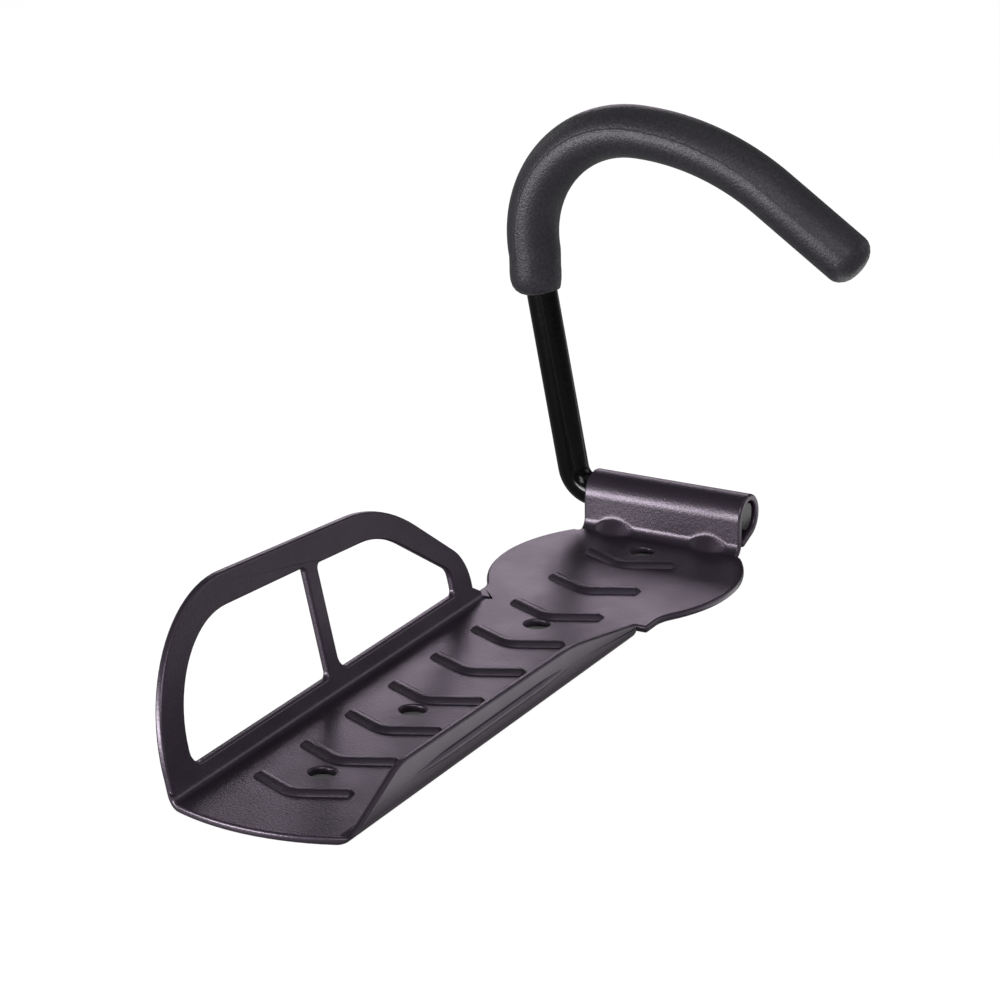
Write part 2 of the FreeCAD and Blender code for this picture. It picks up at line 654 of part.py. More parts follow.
def hook_path(body, name, start, run):
    """Centre line of the rod in the plane of the knuckle's axis.

    start is "foot" for the whole rod, which begins inside the knuckle, or "leg" for the sleeve,
    which begins part of the way up the leg. run is the length of the straight end.
    """
    path = new_sketch(body, name, "XZ_Plane", "-knuckle_y")
    lean, slope = math.radians(value("leg_lean")), math.radians(value("tip_slope"))
    shoulder = V(value("shoulder_x"), value("shoulder_height"), 0)
    radius, crown_radius = value("shoulder_radius"), value("crown_radius")
    crown = shoulder - V(0, crown_radius - radius, 0)
    leg_top = shoulder - V(math.cos(lean), math.sin(lean), 0) * radius
    summit = shoulder + V(0, radius, 0)
    crown_end = crown + V(math.sin(slope), math.cos(slope), 0) * crown_radius
    tip = V(value(tip_at(run)[0]), value(tip_at(run)[1]), 0)
    down = V(math.sin(lean), -math.cos(lean), 0)
    if start == "foot":
        bend = value("rod_bend_radius")
        turn = V(value(BEND_X), value("knuckle_height") + bend, 0)
        leg_foot = turn - V(math.cos(lean), math.sin(lean), 0) * bend
        foot = V(value(ROD_FOOT), value("knuckle_height"), 0)
        path.addGeometry(Part.LineSegment(foot, turn - V(0, bend, 0)), False)
        path.addGeometry(arc_at(turn, bend, leg_foot, turn - V(0, bend, 0)), False)
    else:
        leg_foot = leg_top + down * value("sleeve_leg")
    leg = path.addGeometry(Part.LineSegment(leg_foot, leg_top), False)
    path.addGeometry(arc_at(shoulder, radius, summit, leg_top), False)
    path.addGeometry(arc_at(crown, crown_radius, crown_end, summit), False)
    path.addGeometry(Part.LineSegment(crown_end, tip), False)
    joined(path, (leg, 2, leg + 1, 2), (leg + 1, 1, leg + 2, 2), (leg + 2, 1, leg + 3, 1))
    fix(path, "Radius", leg + 1, size="shoulder_radius")
    fix(path, "DistanceX", -1, 1, leg + 1, 3, size="shoulder_x")
    fix(path, "DistanceY", -1, 1, leg + 1, 3, size="shoulder_height")
    fix(path, "Radius", leg + 2, size="crown_radius")
    path.addConstraint(Sketcher.Constraint("Vertical", leg + 1, 3, leg + 2, 3))
    fix(path, "DistanceX", -1, 1, leg + 3, 2, size=tip_at(run)[0])
    fix(path, "DistanceY", -1, 1, leg + 3, 2, size=tip_at(run)[1])
    if start == "foot":
        joined(path, (0, 2, 1, 2), (1, 1, 2, 1))
        path.addConstraint(Sketcher.Constraint("Horizontal", 0))
        fix(path, "DistanceX", -1, 1, 0, 1, size=ROD_FOOT)
        fix(path, "DistanceY", -1, 1, 0, 1, size="knuckle_height")
        fix(path, "Radius", 1, size="rod_bend_radius")
        fix(path, "DistanceX", -1, 1, 1, 3, size=BEND_X)
    else:
        fix(path, "DistanceX", -1, 1, leg, 1, size=LEG_START_X)
        fix(path, "DistanceY", -1, 1, leg, 1, size=LEG_START_Z)
    return path


def tip_at(run):
    """Expressions for the place of the rod's centre line a given run past the end of its crown."""
    along_x = "shoulder_x + crown_radius * sin(tip_slope * 1deg) + (%s) * cos(tip_slope * 1deg)" % run
    along_z = ("shoulder_height + shoulder_radius - crown_radius * (1 - cos(tip_slope * 1deg))"
               " - (%s) * sin(tip_slope * 1deg)" % run)
    return along_x, along_z


def end_rims(shape):
    """Names of the outer rims of a bent bar's flat ends, from the one with the lowest X to the highest."""
    rims = []
    for face in shape.Faces:
        if face.Surface.TypeId == "Part::GeomPlane":
            rim = face.OuterWire.Edges[0]
            number = next(i for i, edge in enumerate(shape.Edges, start=1) if edge.isSame(rim))
            rims.append((face.CenterOfMass.x, "Edge%d" % number))
    return [name for _, name in sorted(rims)]


def trimmed(body, name, kind, rim, **sizes):
    """Round or chamfer one rim of the body's tip, where rim is 0 for the leg's end and -1 for the other."""
    doc.recompute()
    base = body.Tip
    feature = body.newObject("PartDesign::" + kind, name)
    feature.Base = (base, [end_rims(base.Shape)[rim]])
    return bind(feature, **sizes)


def rod(body):
    """Round rod through the knuckle, bent up beside it and over into the hook."""
    path = hook_path(body, "rod_path", "foot", ROD_RUN)
    section = new_sketch(body, "rod_section", "YZ_Plane", ROD_FOOT)
    disc(section, "knuckle_y", "knuckle_height", "rod_diameter")
    swept(body, "rod_bar", "AdditivePipe", section, path)
    trimmed(body, "foot_edge", "Chamfer", 0, Size="rod_edge")
    trimmed(body, "tip_edge", "Chamfer", -1, Size="rod_edge")


def leg_ring(body, name, diameter):
    """Circle square to the leg, where the sleeve begins."""
    ring = new_sketch(body, name, "XY_Plane", LEG_START_Z)
    ring.AttachmentOffset = FreeCAD.Placement(V(0, 0, 0), FreeCAD.Rotation(V(0, -1, 0), value("leg_lean")))
    bind(ring, AttachmentOffset__Base__x=LEG_START_X, AttachmentOffset__Base__y="knuckle_y",
         AttachmentOffset__Rotation__Angle="leg_lean * 1deg")
    return disc(ring, "0", "0", diameter)


def sleeve(body):
    """Soft tube over the hook with a closed round tip and a thin tapered lip on the leg."""
    swept(body, "sleeve_bar", "AdditivePipe", leg_ring(body, "sleeve_section", "sleeve_diameter"),
          hook_path(body, "sleeve_path", "leg", "tip_run"))
    tip = trimmed(body, "sleeve_tip", "Chamfer", -1, Size="sleeve_tip_setback",
                  Size2="(sleeve_diameter - 2 * sleeve_tip_flat) / 2")
    tip.ChamferType = "Two distances"
    lip = trimmed(body, "sleeve_lip", "Chamfer", 0, Size="sleeve_taper",
                  Size2="(sleeve_diameter - rod_diameter) / 2 - sleeve_clearance - sleeve_lip")
    lip.ChamferType = "Two distances"
    swept(body, "sleeve_bore", "SubtractivePipe",
          leg_ring(body, "bore_section", "rod_diameter + 2 * sleeve_clearance"),
          hook_path(body, "bore_path", "leg", "tip_run - sleeve_cap"))


def new_body(label):
    body = doc.addObject("PartDesign::Body", label)
    body.Label = label
    return body


sheet_body = new_body("pressed_sheet")
gussets(sheet_body)
channel(sheet_body)
front_edge(sheet_body)
wing_edge(sheet_body)
windows(sheet_body)
flange_edge(sheet_body)
flange_bead(sheet_body)
head(sheet_body)
knuckle(sheet_body)
screw_holes(sheet_body)
rib_tops = rib_row("rib_tops", rib_top())
ribbed = doc.addObject("Part::Fuse", "ribbed_sheet")
ribbed.Base, ribbed.Tool = sheet_body, rib_tops
hollows = doc.addObject("Part::Compound", "hollows")
hollows.Links = [rib_row("rib_hollows", rib_hollow()),
                 gusset_hollow("left_gusset_hollow", "-"), gusset_hollow("right_gusset_hollow", "+")]
plate = doc.addObject("Part::Cut", "back_plate")
plate.Base, plate.Tool = ribbed, hollows
plate.Refine = True
hook_rod = new_body("hook_rod")
rod(hook_rod)
foam_sleeve = new_body("hook_sleeve")
sleeve(foam_sleeve)

doc.recompute()
for item in doc.Objects:
    if "Invalid" in item.State or "Error" in item.State:
        raise RuntimeError("%s failed: %s" % (item.Label, item.State))
os.makedirs("parts", exist_ok=True)
for piece in (plate, hook_rod, foam_sleeve):
    shape = piece.Shape
    if shape.isNull() or not shape.isValid() or len(shape.Solids) != 1:
        raise RuntimeError("%s has no single valid solid" % piece.Label)
    shape.exportStep("parts/%s.step" % piece.Label)
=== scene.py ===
"""Looks of a wall hook that holds a bicycle by its wheel: a folded and ribbed steel plate in satin
black powder coat, a glossy black rod and a soft grained foam sleeve.

Metres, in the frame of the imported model: the plate lies with its back on Z = 0.
"""
import bpy
import math
from mathutils import Matrix, Vector


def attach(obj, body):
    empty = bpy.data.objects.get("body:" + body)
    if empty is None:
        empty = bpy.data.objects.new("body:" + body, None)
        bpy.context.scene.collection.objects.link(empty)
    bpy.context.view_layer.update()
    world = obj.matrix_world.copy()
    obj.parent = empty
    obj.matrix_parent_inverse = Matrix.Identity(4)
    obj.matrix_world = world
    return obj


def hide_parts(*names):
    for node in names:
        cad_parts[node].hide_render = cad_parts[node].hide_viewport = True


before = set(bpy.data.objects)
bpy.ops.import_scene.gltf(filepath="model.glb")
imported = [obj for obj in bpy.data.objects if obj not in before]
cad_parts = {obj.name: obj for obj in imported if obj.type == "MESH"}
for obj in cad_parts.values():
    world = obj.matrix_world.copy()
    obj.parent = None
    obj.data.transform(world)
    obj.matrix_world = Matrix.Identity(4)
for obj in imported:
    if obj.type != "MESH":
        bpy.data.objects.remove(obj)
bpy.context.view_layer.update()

MM = 0.001

# Camera
LENS = 156.995
SENSOR = 36.0
CAMERA_PLACE = Vector((554.8, -1003.4, 462.3)) * MM
AZIMUTH = math.radians(28.623)
ELEVATION = math.radians(19.717)
ROLL = math.radians(-0.512)

# Sleeve and rod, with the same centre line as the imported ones
KNUCKLE_Y = 121.4 * MM
LEAN = math.radians(11)
SHOULDER_RADIUS = 35.3 * MM
SHOULDER_X = -11.5 * MM
SHOULDER_HEIGHT = 92 * MM
CROWN_RADIUS = 80 * MM
TIP_SLOPE = math.radians(34)
TIP_RUN = 34.5 * MM
SLEEVE_RADIUS = 8 * MM
SLEEVE_LEG = 12 * MM
BORE_RADIUS = 4.85 * MM
BORE_END = 4 * MM
LIP_WALL = 0.9 * MM
SEAM_TURN = math.radians(15)
SLEEVE_SIDES = 72
SEAM_HEIGHT = 0.16 * MM
SEAM_WIDTH = 0.32 * MM
NIB_PLACE = Vector((0.9, 0, -1.4)) * MM
# Each ring of the lip: its run along the leg, its radius and its sag to one side, in mm
LIP_RINGS = ((0.5, 6.4, 0.45), (1.0, 7.1, 0.9), (1.4, 7.65, 1.1), (1.9, 7.95, 1.1), (2.4, 8.0, 0.85),
             (2.4, 8.0, 0.4))
# Each ring of the round tip: its run and its radius, in mm
TIP_RINGS = ((1.3, 7.8), (1.3, 7.1), (1.2, 5.9), (0.8, 4.5), (0.45, 2.9), (0.15, 1.4))

# Plate
EDGE_RADIUS = 0.75 * MM
SHEET_TOP = 2.2 * MM
WALL_FACE = 114.35 * MM
FOLD_RADIUS = 3 * MM
GUSSET_PLACES = (-15.4 * MM, 16.4 * MM)
GUSSET_RADIUS = 10.5 * MM
GUSSET_RISE = 2.95 * MM
GUSSET_FLARE = 0.5 * MM
GUSSET_SINK = 0.07 * MM
GUSSET_STRIP = 19 * MM
GUSSET_SHEET = 0.4 * MM
STRIP_STEP = 0.5 * MM
STRIP_STEPS = 9
STRIP_CUTS = 39
FOLD_STEPS = 10
FOLD_OUT = Vector((0, -math.sqrt(0.5), math.sqrt(0.5)))

# Stage
FLOOR_SIZE = 2
FLOOR_DROP = 0.3 * MM
FLOOR_GREY = 0.12
FLOOR_GLOW = 0.92
MIRRORED_GLOW = 0.12
# Painted shade: middle and reach of the floor area under the plate that gets no glow
SHADE_MIDDLE = (1.5 * MM, -2 * MM)
SHADE_REACH = (20 * MM, 112 * MM)
# Painted reflection: glow, middle X and reach of a floor strip beside the flange that glows only in mirrors
REFLECTION_STRIP_GLOW = 1.5
REFLECTION_STRIP_X = 58 * MM
REFLECTION_STRIP_REACH = 20 * MM
FILL = 0.06


def deselect():
    if bpy.context.object and bpy.context.object.mode != "OBJECT":
        bpy.ops.object.mode_set(mode="OBJECT")
    bpy.ops.object.select_all(action="DESELECT")


def make_active(piece):
    deselect()
    piece.select_set(True)
    bpy.context.view_layer.objects.active = piece


def settle(piece):
    """Put the piece's place into its mesh, so that its object sits unturned at the origin."""
    make_active(piece)
    bpy.ops.object.transform_apply(location=True, rotation=True, scale=True)


# Materials

def node_group(name, inputs, outputs):
    """Shader node group with named sockets, given as (name, kind, default)."""
    group = bpy.data.node_groups.new(name, "ShaderNodeTree")
    for label, kind, start in inputs:
        socket = group.interface.new_socket(name=label, in_out="INPUT", socket_type=kind)
        if start is not None:
            socket.default_value = start
    for label, kind in outputs:
        group.interface.new_socket(name=label, in_out="OUTPUT", socket_type=kind)
    return group, group.nodes.new("NodeGroupInput"), group.nodes.new("NodeGroupOutput")


def add(tree, kind, **settings):
    node = tree.nodes.new(kind)
    for name, value in settings.items():
        if name in node.inputs:
            node.inputs[name].default_value = value
        else:
            setattr(node, name, value)
    return node


def noise(tree, coords, scale, detail=3.0, roughness=0.5):
    node = tree.nodes.new("ShaderNodeTexNoise")
    node.inputs["Detail"].default_value = detail
    node.inputs["Roughness"].default_value = roughness
    if isinstance(scale, (int, float)):
        node.inputs["Scale"].default_value = scale
    else:
        tree.links.new(scale, node.inputs["Scale"])
    tree.links.new(coords, node.inputs["Vector"])
    return node.outputs["Fac"]


def math_node(tree, operation, *values):
    node = tree.nodes.new("ShaderNodeMath")
    node.operation = operation
    for socket, value in zip(node.inputs, values):
        if isinstance(value, (int, float)):
            socket.default_value = value
        else:
            tree.links.new(value, socket)
    return node.outputs[0]


def ramp(tree, value, low, high):
    """Value stretched so that low gives 0 and high gives 1."""
    node = tree.nodes.new("ShaderNodeMapRange")
    node.inputs["From Min"].default_value = low
    node.inputs["From Max"].default_value = high
    tree.links.new(value, node.inputs["Value"])
    return node.outputs["Result"]


def blend(tree, factor, first, second):
    node = tree.nodes.new("ShaderNodeMix")
    node.data_type = "RGBA"
    tree.links.new(factor, node.inputs["Factor"])
    for socket, colour in (("A", first), ("B", second)):
        target = next(s for s in node.inputs if s.name == socket and s.type == "RGBA")
        if isinstance(colour, tuple):
            target.default_value = colour
        else:
            tree.links.new(colour, target)
    return next(s for s in node.outputs if s.type == "RGBA")


def coat_skin():
    """Cured coating: fine orange peel, cloudy tint and a scatter of dust nibs."""
    group, start, end = node_group(
        "coat_skin",
        [("Colour", "NodeSocketColor", (0.03, 0.03, 0.03, 1)),
         ("Cloud Colour", "NodeSocketColor", (0.05, 0.05, 0.05, 1)),
         ("Peel Scale", "NodeSocketFloat", 900.0),
         ("Roughness", "NodeSocketFloat", 0.4)],
        [("Colour", "NodeSocketColor"), ("Roughness", "NodeSocketFloat"), ("Height", "NodeSocketFloat")])
    coords = group.nodes.new("ShaderNodeTexCoord").outputs["Object"]
    cloud = ramp(group, noise(group, coords, 26.0, 4.0, 0.6), 0.3, 0.75)
    colour = blend(group, cloud, start.outputs["Colour"], start.outputs["Cloud Colour"])
    group.links.new(colour, end.inputs["Colour"])
    peel = noise(group, coords, start.outputs["Peel Scale"], 2.0, 0.45)
    nibs = ramp(group, noise(group, coords, 620.0, 1.0, 0.3), 0.76, 0.82)
    group.links.new(math_node(group, "MULTIPLY_ADD", nibs, 0.6, peel), end.inputs["Height"])
    smear = noise(group, coords, 75.0, 3.0, 0.6)
    spread = math_node(group, "MULTIPLY_ADD", smear, 0.16, -0.08)
    group.links.new(math_node(group, "ADD", start.outputs["Roughness"], spread), end.inputs["Roughness"])
    return group


def shader_of(name):
    material = bpy.data.materials.new(name)
    material.use_nodes = True
    return material, material.node_tree, material.node_tree.nodes["Principled BSDF"]


def coated(name, skin, colour, cloud, peel_scale, roughness, peel_depth):
    """Coated steel: the skin group drives colour, roughness and bump."""
    material, tree, shader = shader_of(name)
    surface = tree.nodes.new("ShaderNodeGroup")
    surface.node_tree = skin
    surface.inputs["Colour"].default_value = colour
    surface.inputs["Cloud Colour"].default_value = cloud
    surface.inputs["Peel Scale"].default_value = peel_scale
    surface.inputs["Roughness"].default_value = roughness
    tree.links.new(surface.outputs["Colour"], shader.inputs["Base Color"])
    tree.links.new(surface.outputs["Roughness"], shader.inputs["Roughness"])
    bump = add(tree, "ShaderNodeBump", Strength=peel_depth, Distance=0.0002)
    tree.links.new(surface.outputs["Height"], bump.inputs["Height"])
    tree.links.new(bump.outputs["Normal"], shader.inputs["Normal"])
    return material, shader


def foam(name):
    """Closed-cell foam: a matte skin of fine pebbles."""
    material, tree, shader = shader_of(name)
    coords = tree.nodes.new("ShaderNodeTexCoord").outputs["Object"]
    pebbles = add(tree, "ShaderNodeTexVoronoi", Scale=1500.0)
    pebbles.feature = "SMOOTH_F1"
    tree.links.new(coords, pebbles.inputs["Vector"])
    grain = noise(tree, coords, 1100.0, 4.0, 0.65)
    cloud = ramp(tree, noise(tree, coords, 60.0, 4.0, 0.65), 0.3, 0.75)
    height = math_node(tree, "MULTIPLY_ADD", pebbles.outputs["Distance"], -0.5, grain)
    colour = blend(tree, cloud, (0.011, 0.0098, 0.0125, 1), (0.019, 0.0172, 0.021, 1))
    speck = ramp(tree, grain, 0.35, 0.75)
    colour = blend(tree, speck, (0.006, 0.0055, 0.007, 1), colour)
    tree.links.new(colour, shader.inputs["Base Color"])
    rough = math_node(tree, "MULTIPLY_ADD", cloud, -0.08, 0.46)
    tree.links.new(rough, shader.inputs["Roughness"])
    bump = add(tree, "ShaderNodeBump", Strength=0.55, Distance=0.00025)
    tree.links.new(height, bump.inputs["Height"])
    tree.links.new(bump.outputs["Normal"], shader.inputs["Normal"])
    shader.inputs["Specular IOR Level"].default_value = 0.2
    shader.inputs["Specular Tint"].default_value = (0.96, 0.92, 1.0, 1)
    shader.inputs["Sheen Weight"].default_value = 0.04
    shader.inputs["Sheen Roughness"].default_value = 0.5
    return material


# Pieces

def eased_plate(node):
    """The pressed sheet with its cut edges eased, as blanking and coating leave them."""
    plate = node.copy()
    plate.data = node.data.copy()
    plate.name = "coated_plate"
    plate.data.name = "coated_plate"
    plate.parent = None
    bpy.context.scene.collection.objects.link(plate)
    make_active(plate)
    bpy.ops.object.mode_set(mode="EDIT")
    bpy.ops.mesh.select_all(action="SELECT")
    bpy.ops.mesh.remove_doubles(threshold=0.002 * MM)
    bpy.ops.mesh.customdata_custom_splitnormals_clear()
    bpy.ops.mesh.dissolve_limited(angle_limit=math.radians(0.2))
    bpy.ops.object.mode_set(mode="OBJECT")
    eased = plate.modifiers.new("eased_edges", "BEVEL")
    eased.width = EDGE_RADIUS
    eased.segments = 3
    eased.limit_method = "ANGLE"
    eased.angle_limit = math.radians(62)
    eased.miter_outer = "MITER_ARC"
    eased.use_clamp_overlap = False
    bpy.ops.object.modifier_apply(modifier="eased_edges")
    bpy.ops.object.shade_smooth_by_angle(angle=math.radians(38))
    flats = plate.modifiers.new("flat_faces", "WEIGHTED_NORMAL")
    flats.mode = "FACE_AREA"
    flats.weight = 100
    flats.keep_sharp = True
    bpy.ops.object.modifier_apply(modifier="flat_faces")
    return plate


def dart_height(place, middle):
    """How far a place of the fold stands below the dart's round bar, eased to nothing around it."""
    corner = Vector((place.x, WALL_FACE, SHEET_TOP))
    across = place.x - middle
    bar = GUSSET_RISE - GUSSET_RADIUS + math.sqrt(max(GUSSET_RADIUS ** 2 - across ** 2, 0))
    gap = bar - (place - corner).dot(FOLD_OUT)
    return (gap + math.sqrt(gap ** 2 + GUSSET_FLARE ** 2)) / 2 - GUSSET_SINK


def gusset_skin(name, middle):
    """Dart pressed into the knuckle's fold: a fine strip laid along it and pushed out to a round bar."""
    fold = WALL_FACE - FOLD_RADIUS
    deselect()
    bpy.ops.mesh.primitive_plane_add(
        size=1, location=(middle, fold - (STRIP_STEPS + 0.5) * STRIP_STEP, SHEET_TOP + 0.01 * MM))
    piece = bpy.context.object
    piece.name = piece.data.name = name
    piece.scale = (GUSSET_STRIP, STRIP_STEP, 1)
    settle(piece)
    bpy.ops.object.mode_set(mode="EDIT")
    selected_where(piece, "EDGE", lambda edge: abs(
        piece.data.vertices[edge.vertices[0]].co.x - piece.data.vertices[edge.vertices[1]].co.x) > MM)
    bpy.ops.mesh.subdivide(number_cuts=STRIP_CUTS)
    selected_where(piece, "EDGE", lambda edge: all(
        piece.data.vertices[k].co.y > fold - (STRIP_STEPS + 0.2) * STRIP_STEP for k in edge.vertices))
    for _ in range(STRIP_STEPS):
        push(Vector((0, 1, 0)), STRIP_STEP)
    bpy.ops.mesh.spin(steps=FOLD_STEPS, angle=math.pi / 2, center=(middle, fold, SHEET_TOP + FOLD_RADIUS),
                      axis=(-1, 0, 0))
    for _ in range(STRIP_STEPS):
        push(Vector((0, 0, 1)), STRIP_STEP)
    bpy.ops.mesh.select_all(action="SELECT")
    bpy.ops.mesh.normals_make_consistent(inside=False)
    bpy.ops.object.mode_set(mode="OBJECT")
    for vertex in piece.data.vertices:
        vertex.co += FOLD_OUT * dart_height(vertex.co, middle)
    piece.data.update()
    if piece.data.polygons[0].normal.z < 0:
        piece.data.flip_normals()
    shell = piece.modifiers.new("sheet", "SOLIDIFY")
    shell.thickness = GUSSET_SHEET
    shell.offset = -1
    bpy.ops.object.modifier_apply(modifier="sheet")
    bpy.ops.object.shade_smooth_by_angle(angle=math.radians(60))
    return piece


def hook_places():
    """Ends of the leg, shoulder and crown on the rod's centre line, and their directions."""
    shoulder = Vector((SHOULDER_X, KNUCKLE_Y, SHOULDER_HEIGHT))
    crown = shoulder - Vector((0, 0, CROWN_RADIUS - SHOULDER_RADIUS))
    leg_top = shoulder - Vector((math.cos(LEAN), 0, math.sin(LEAN))) * SHOULDER_RADIUS
    leg_way = Vector((-math.sin(LEAN), 0, math.cos(LEAN)))
    tip_way = Vector((math.cos(TIP_SLOPE), 0, -math.sin(TIP_SLOPE)))
    return shoulder, crown, leg_top, leg_way, tip_way


def push(way, run):
    """Extrude the selected ring along a direction."""
    bpy.ops.mesh.extrude_region_move(TRANSFORM_OT_translate={"value": way * run})


def swell(factor, centre):
    """Scale the selected ring about a centre."""
    bpy.ops.transform.resize(value=(factor, factor, factor), center_override=centre)


def sleeve_piece():
    """Soft sleeve: a sagging rounded lip on the leg, the bend, a blunt round tip, a bore and a seam."""
    shoulder, crown, leg_top, leg_way, tip_way = hook_places()
    start = leg_top - leg_way * SLEEVE_LEG
    deselect()
    bpy.ops.mesh.primitive_circle_add(vertices=SLEEVE_SIDES, radius=BORE_RADIUS + LIP_WALL,
                                      location=start, rotation=(0, -LEAN, 0))
    piece = bpy.context.object
    piece.name = piece.data.name = "foam_sleeve"
    settle(piece)
    bpy.ops.object.mode_set(mode="EDIT")
    bpy.ops.mesh.select_all(action="SELECT")
    aside = (leg_top - shoulder).normalized() * MM
    radius, place, last = BORE_RADIUS + LIP_WALL, start, 0
    for run, wanted, sag in LIP_RINGS:
        way = leg_way * run * MM + aside * (sag - last)
        push(way, 1)
        place = place + way
        swell(wanted * MM / radius, place)
        radius, last = wanted * MM, sag
    push(leg_top - place, 1)
    bpy.ops.mesh.spin(steps=32, angle=math.pi / 2 + LEAN, center=shoulder, axis=(0, -1, 0))
    bpy.ops.mesh.spin(steps=24, angle=TIP_SLOPE, center=crown, axis=(0, -1, 0))
    place = crown + Vector((math.sin(TIP_SLOPE), 0, math.cos(TIP_SLOPE))) * CROWN_RADIUS
    straight = TIP_RUN - sum(run for run, _ in TIP_RINGS) * MM
    for _ in range(4):
        push(tip_way, straight / 4)
    place = place + tip_way * straight
    for run, wanted in TIP_RINGS:
        push(tip_way, run * MM)
        place = place + tip_way * run * MM
        swell(wanted * MM / radius, place)
        radius = wanted * MM
    bpy.ops.mesh.edge_face_add()
    bpy.ops.mesh.poke()
    turn_in_bore(piece, start, leg_way)
    raise_seam(piece)
    pull_nib(piece, place, tip_way)
    bpy.ops.object.mode_set(mode="OBJECT")
    bpy.ops.object.shade_smooth()
    return piece


def selected_where(piece, kind, wanted):
    """Select the vertices, edges or faces for which wanted(element) is true."""
    bpy.ops.mesh.select_all(action="DESELECT")
    bpy.ops.mesh.select_mode(type=kind)
    bpy.ops.object.mode_set(mode="OBJECT")
    elements = {"VERT": piece.data.vertices, "EDGE": piece.data.edges, "FACE": piece.data.polygons}[kind]
    for element in elements:
        element.select = wanted(element)
    bpy.ops.object.mode_set(mode="EDIT")


def turn_in_bore(piece, start, leg_way):
    """Close the lip inwards, run a blind bore round the rod and finish it with a floor."""
    selected_where(piece, "EDGE", lambda edge: all(
        abs((piece.data.vertices[k].co - start).dot(leg_way)) < 0.01 * MM for k in edge.vertices))
    shoulder, crown, leg_top, _, tip_way = hook_places()
    push(leg_way, 0)
    swell(BORE_RADIUS / (BORE_RADIUS + LIP_WALL), start)
    push(leg_way, SLEEVE_LEG)
    bpy.ops.mesh.spin(steps=16, angle=math.pi / 2 + LEAN, center=shoulder, axis=(0, -1, 0))
    bpy.ops.mesh.spin(steps=8, angle=TIP_SLOPE, center=crown, axis=(0, -1, 0))
    push(tip_way, TIP_RUN - BORE_END)
    bpy.ops.mesh.edge_face_add()


def centre_line(place):
    """Nearest point of the sleeve's centre line and the way out of the bend there."""
    shoulder, crown, leg_top, leg_way, tip_way = hook_places()
    if (place - leg_top).dot(leg_way) < 0:
        return leg_top + leg_way * (place - leg_top).dot(leg_way), (leg_top - shoulder).normalized()
    pivot = shoulder if place.x < shoulder.x else crown
    radius = SHOULDER_RADIUS if place.x < shoulder.x else CROWN_RADIUS
    out = Vector((place.x - pivot.x, 0, place.z - pivot.z)).normalized()
    if pivot is crown and math.atan2(out.x, out.z) > TIP_SLOPE:
        out = Vector((math.sin(TIP_SLOPE), 0, math.cos(TIP_SLOPE)))
        crown_end = crown + out * CROWN_RADIUS
        return crown_end + tip_way * (place - crown_end).dot(tip_way), out
    return pivot + out * radius, out


def seam_angle(place):
    """Turn of a place round the centre line, from the side that faces -Y towards the outside of the bend."""
    middle, out = centre_line(place)
    offset = place - middle
    return math.atan2(offset.dot(out), -offset.y), offset.length


def raise_seam(piece):
    """Fine raised parting line along the side of the sleeve."""
    step = 2 * math.pi / SLEEVE_SIDES

    def on_seam(place):
        angle, reach = seam_angle(place)
        return reach > 7 * MM and abs(angle - SEAM_TURN) < step / 3

    selected_where(piece, "EDGE", lambda edge: all(on_seam(piece.data.vertices[k].co) for k in edge.vertices))
    bpy.ops.mesh.bevel(offset=SEAM_WIDTH, segments=2, profile=1.0, affect="EDGES")
    selected_where(piece, "VERT", lambda vertex: seam_angle(vertex.co)[1] > 7 * MM and abs(
        seam_angle(vertex.co)[0] - SEAM_TURN) < 0.2 * SEAM_WIDTH / SLEEVE_RADIUS)
    bpy.ops.transform.shrink_fatten(value=SEAM_HEIGHT)


def pull_nib(piece, tip, tip_way):
    """Small rough nib on the end, where the moulding was torn off its runner."""
    spot = tip + NIB_PLACE
    selected_where(piece, "FACE", lambda face: (face.center - spot).length < 1.0 * MM
                   and face.normal.dot(tip_way) > 0.2)
    push(tip_way, 0.45 * MM)
    swell(0.8, spot)
    push(tip_way + Vector((0, 0, -0.8)), 0.35 * MM)
    swell(0.6, spot)


# Assembly

skin = coat_skin()
plate_coat, plate_shader = coated("satin_powder_coat", skin, (0.0074, 0.0052, 0.0083, 1),
                                  (0.0118, 0.0084, 0.0127, 1), 1300.0, 0.36, 0.3)
plate_shader.inputs["Specular Tint"].default_value = (0.96, 0.83, 1.0, 1)
rod_coat, rod_shader = coated("gloss_black_coat", skin, (0.0008, 0.0008, 0.0009, 1),
                              (0.0015, 0.0014, 0.0016, 1), 700.0, 0.16, 0.15)
rod_shader.inputs["Specular IOR Level"].default_value = 0.15
foam_skin = foam("grained_foam")

plate = eased_plate(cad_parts["back_plate"])
plate.data.materials.clear()
plate.data.materials.append(plate_coat)
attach(plate, "root")
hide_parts("back_plate")

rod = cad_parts["hook_rod"]
for slot in rod.material_slots:
    slot.material = rod_coat

for side, middle in zip(("left", "right"), GUSSET_PLACES):
    gusset = gusset_skin(side + "_gusset", middle)
    gusset.data.materials.append(plate_coat)
    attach(gusset, "root")

sleeve = sleeve_piece()
sleeve.data.materials.append(foam_skin)
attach(sleeve, "root")
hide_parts("hook_sleeve")


# Stage

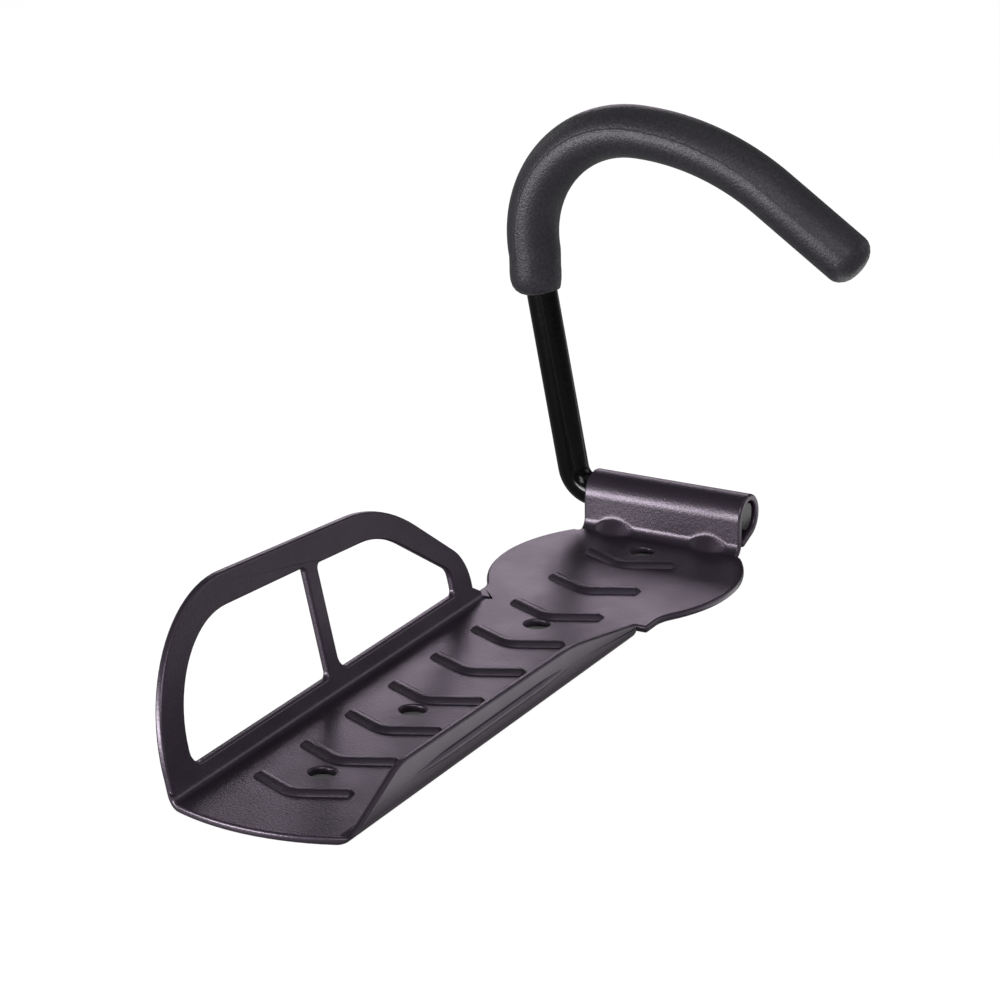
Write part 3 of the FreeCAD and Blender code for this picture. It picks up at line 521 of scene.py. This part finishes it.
def floor_material():
    """White for the camera, faint in mirrors, with painted shade under the plate and a painted reflection: a
    strip by the flange that glows only in mirrors.
    """
    material, tree, shader = shader_of("plain_floor")
    shader.inputs["Base Color"].default_value = (FLOOR_GREY, FLOOR_GREY, FLOOR_GREY, 1)
    shader.inputs["Roughness"].default_value = 1.0
    shader.inputs["Specular IOR Level"].default_value = 0.0
    path = tree.nodes.new("ShaderNodeLightPath").outputs
    mirrored = math_node(tree, "MAXIMUM", path["Is Glossy Ray"], path["Is Transmission Ray"])
    seen = math_node(tree, "MAXIMUM", path["Is Camera Ray"],
                     math_node(tree, "MULTIPLY", mirrored, MIRRORED_GLOW))
    place = tree.nodes.new("ShaderNodeSeparateXYZ")
    tree.links.new(tree.nodes.new("ShaderNodeTexCoord").outputs["Object"], place.inputs["Vector"])
    # Painted shade: no glow under the plate's footprint, so the floor there and seen through the holes stays
    # dark
    beyond = []
    for axis, middle, reach in zip("XY", SHADE_MIDDLE, SHADE_REACH):
        offset = math_node(tree, "ABSOLUTE", math_node(tree, "ADD", place.outputs[axis], -middle))
        beyond.append(math_node(tree, "GREATER_THAN", offset, reach))
    outside = math_node(tree, "MAXIMUM", *beyond)
    # Painted reflection: the strip beside the flange glows for mirror rays only, brightening the flange's
    # reflection
    beside = math_node(tree, "COMPARE", place.outputs["X"], REFLECTION_STRIP_X, REFLECTION_STRIP_REACH)
    painted_reflection = math_node(tree, "MULTIPLY", math_node(tree, "MULTIPLY", path["Is Glossy Ray"], beside), REFLECTION_STRIP_GLOW)
    strength = math_node(tree, "MULTIPLY_ADD", math_node(tree, "MULTIPLY", seen, outside), FLOOR_GLOW, painted_reflection)
    glow = tree.nodes.new("ShaderNodeEmission")
    tree.links.new(strength, glow.inputs["Strength"])
    total = tree.nodes.new("ShaderNodeAddShader")
    tree.links.new(shader.outputs["BSDF"], total.inputs[0])
    tree.links.new(glow.outputs["Emission"], total.inputs[1])
    clear = tree.nodes.new("ShaderNodeMixShader")
    tree.links.new(tree.nodes.new("ShaderNodeNewGeometry").outputs["Backfacing"], clear.inputs["Fac"])
    tree.links.new(total.outputs["Shader"], clear.inputs[1])
    tree.links.new(tree.nodes.new("ShaderNodeBsdfTransparent").outputs["BSDF"], clear.inputs[2])
    tree.links.new(clear.outputs["Shader"], tree.nodes["Material Output"].inputs["Surface"])
    return material


deselect()
bpy.ops.mesh.primitive_plane_add(size=1, location=(0, 0.2, -FLOOR_DROP))
floor = bpy.context.object
floor.name = "floor"
floor.scale = (FLOOR_SIZE, FLOOR_SIZE, 1)
settle(floor)
floor.data.materials.append(floor_material())

world = bpy.data.worlds.new("studio")
bpy.context.scene.world = world
world.use_nodes = True
studio = world.node_tree
studio.nodes["Background"].inputs["Color"].default_value = (1, 1, 1, 1)
sight = studio.nodes.new("ShaderNodeLightPath")
studio.links.new(math_node(studio, "MULTIPLY_ADD", sight.outputs["Is Camera Ray"], 1 - FILL, FILL),
                 studio.nodes["Background"].inputs["Strength"])


def softbox(name, way, distance, size, radiance, target=(0, 0.02, 0.03), tint=(1, 1, 1), mirrored=True):
    """Rectangular lamp of a given brightness, placed along a way from its target and facing it."""
    lamp = bpy.data.lights.new(name, "AREA")
    lamp.color = tint
    lamp.shape = "RECTANGLE"
    lamp.size, lamp.size_y = size
    lamp.energy = math.pi * size[0] * size[1] * radiance
    holder = bpy.data.objects.new(name, lamp)
    way = Vector(way).normalized()
    holder.location = Vector(target) + way * distance
    holder.rotation_euler = way.to_track_quat("Z", "Y").to_euler()
    holder.visible_glossy = mirrored
    bpy.context.scene.collection.objects.link(holder)


softbox("front_left_softbox", (-0.50, -0.83, 0.15), 1.0, (0.75, 0.34), 16.5)
softbox("back_left_softbox", (-0.45, 0.83, 0.34), 0.9, (0.3, 0.2), 3.9, target=(-0.025, 0.08, 0),
        tint=(1, 0.87, 1.02))
softbox("low_left_softbox", (-0.50, -0.86, 0.035), 1.0, (0.8, 0.1), 45)
softbox("right_softbox", (0.97, -0.05, 0.24), 1.0, (1.1, 0.3), 17, mirrored=False)
softbox("top_softbox", (0.28, 0.12, 0.95), 1.0, (0.7, 0.7), 0.8)
softbox("front_top_softbox", (0.38, -0.73, 0.57), 1.0, (0.6, 0.36), 9, target=(0, 0.09, 0.11))
softbox("back_right_softbox", (0.62, 0.74, 0.32), 1.1, (0.6, 0.45), 1.5)
softbox("left_softbox", (-0.93, 0.25, 0.32), 1.1, (0.6, 0.4), 1.2)

camera = bpy.data.objects.new("camera", bpy.data.cameras.new("camera"))
camera.data.lens = LENS
camera.data.sensor_width = SENSOR
camera.data.clip_end = 20
camera.matrix_world = (Matrix.Translation(CAMERA_PLACE) @ Matrix.Rotation(AZIMUTH, 4, "Z")
                       @ Matrix.Rotation(math.pi / 2 - ELEVATION, 4, "X") @ Matrix.Rotation(ROLL, 4, "Z"))
bpy.context.scene.collection.objects.link(camera)
bpy.context.scene.camera = camera
bpy.context.scene.view_settings.view_transform = "Standard"
